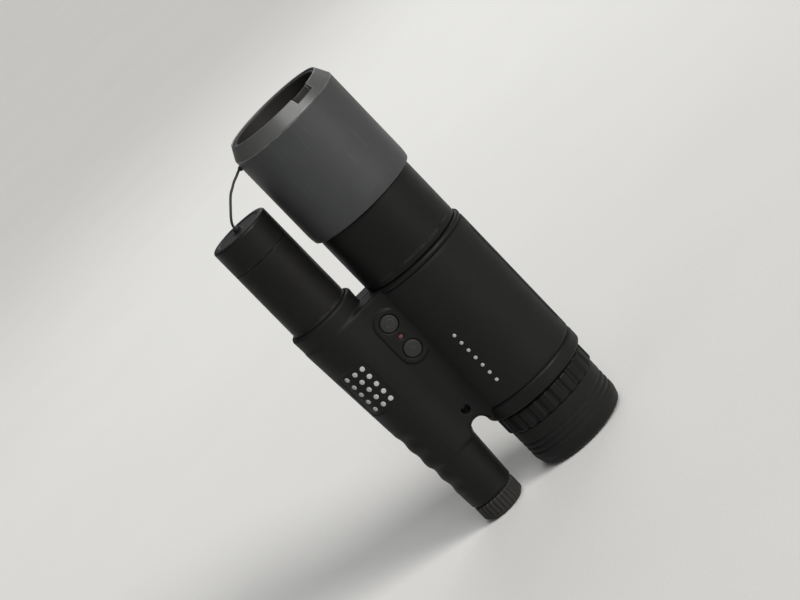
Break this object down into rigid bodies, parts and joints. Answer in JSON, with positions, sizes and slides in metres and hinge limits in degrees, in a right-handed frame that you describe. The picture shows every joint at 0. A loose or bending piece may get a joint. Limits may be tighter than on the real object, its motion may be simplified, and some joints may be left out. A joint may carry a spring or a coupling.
{
  "type": "night-vision monocular",
  "caption": "Handheld night-vision viewer: a wide lens barrel with a tethered cap beside a slim infrared illuminator tube, joined in one black housing with an eyepiece and a battery lobe.",
  "frame": {"origin": "centre of the eyecup's open mouth, on the optical axis, in the plane the instrument stands on", "axes": "+Z along the optical axis towards the lens, -Y the front with the buttons and light marks, -X towards the illuminator tube"},
  "size_m": [0.0862, 0.052, 0.186],
  "materials": {
    "shell_black": "fine spark-textured moulding, matt",
    "gasket_rubber": "matt",
    "screw_steel": "satin, slightly worn",
    "armour_rubber": "matt, ribbed for grip",
    "eyecup_rubber": "soft matt",
    "light_plastic": "matt, light grey",
    "brass": "satin",
    "dark_metal": "black anodised",
    "ring_black": "satin, fine texture",
    "barrel_grey": "satin graphite grey",
    "rim_light": "satin, light grey bevel",
    "cap_black": "matt moulding",
    "cord_black": "fine braided cord",
    "coated_glass": "coated optical glass",
    "tube_glass": "polished fibre-optic face",
    "tube_metal": "satin, potted",
    "holder_plastic": "plain moulding",
    "bare_metal": "satin",
    "board_green": "solder resist",
    "component_brown": "potted parts",
    "switch_plastic": "plain moulding",
    "button_rubber": "soft matt",
    "window_red": "dark red, polished",
    "ir_tube_black": "satin, fine texture",
    "battery_steel": "plain sleeve"
  },
  "bodies": {
    "housing": {"front_shell": "shell_black", "rear_shell": "shell_black", "shell_gasket": "gasket_rubber", "shell_screws": "screw_steel", "barrel_armour": "armour_rubber", "grip_dots": "light_plastic", "index_dots": "light_plastic", "tripod_insert": "brass", "battery_contact": "brass", "objective_mount": "dark_metal", "eyepiece_sleeve": "dark_metal", "objective_barrel": "barrel_grey", "rim_ring": "rim_light", "ir_cap": "cap_black", "tether_post": "cap_black", "cap_tether": "cord_black", "ir_lens": "coated_glass", "tube_windows": "tube_glass", "intensifier_tube": "tube_metal", "tube_holder": "holder_plastic", "tube_retainer": "bare_metal", "ir_reflector": "bare_metal", "circuit_board": "board_green", "board_parts": "component_brown", "tact_switches": "switch_plastic", "ir_emitter": "switch_plastic", "status_window": "window_red", "ir_barrel": "ir_tube_black", "battery": "battery_steel"},
    "focus_ring": {"focus_ring": "ring_black"},
    "objective_cell": {"objective_cell": "dark_metal", "front_element": "coated_glass", "rear_element": "coated_glass", "element_retainer": "dark_metal"},
    "objective_cap": {"objective_cap": "cap_black"},
    "dioptre_ring": {"dioptre_ring": "ring_black", "eyecup": "eyecup_rubber"},
    "eye_cell": {"eye_cell": "dark_metal", "eye_lens": "coated_glass", "field_lens": "coated_glass"},
    "battery_cap": {"battery_cap": "ring_black", "battery_seal": "gasket_rubber"},
    "power_button": {"power_button": "button_rubber"},
    "ir_button": {"ir_button": "button_rubber"}
  },
  "joints": [
    {"name": "focus_turn", "type": "hinge", "parent": "housing", "child": "focus_ring", "pos_m": [0, 0, 0.12], "axis": [0, 0, 1], "range_deg": [0, 120]},
    {"name": "focus_slide", "type": "slide", "parent": "housing", "child": "objective_cell", "axis": [0, 0, 1], "range_m": [0, 0.003]},
    {"name": "cap_pull", "type": "slide", "parent": "housing", "child": "objective_cap", "axis": [0, 0, 1], "range_m": [0, 0.006]},
    {"name": "dioptre_turn", "type": "hinge", "parent": "housing", "child": "dioptre_ring", "pos_m": [0, 0, 0.025], "axis": [0, 0, 1], "range_deg": [-90, 90]},
    {"name": "dioptre_slide", "type": "slide", "parent": "housing", "child": "eye_cell", "axis": [0, 0, 1], "range_m": [-0.0015, 0.0015]},
    {"name": "battery_cap_turn", "type": "hinge", "parent": "housing", "child": "battery_cap", "pos_m": [-0.0445, 0, 0.004], "axis": [0, 0, 1], "range_deg": [0, 90]},
    {"name": "power_press", "type": "slide", "parent": "housing", "child": "power_button", "axis": [0, 1, 0], "range_m": [0, 0.001], "stiffness_N_per_m": 800},
    {"name": "ir_press", "type": "slide", "parent": "housing", "child": "ir_button", "axis": [0, 1, 0], "range_m": [0, 0.001], "stiffness_N_per_m": 800}
  ],
  "couplings": [
    {"joint": "focus_slide", "follows": "focus_turn", "m_per_rad": 0.00143},
    {"joint": "dioptre_slide", "follows": "dioptre_turn", "m_per_rad": 0.00095}
  ]
}
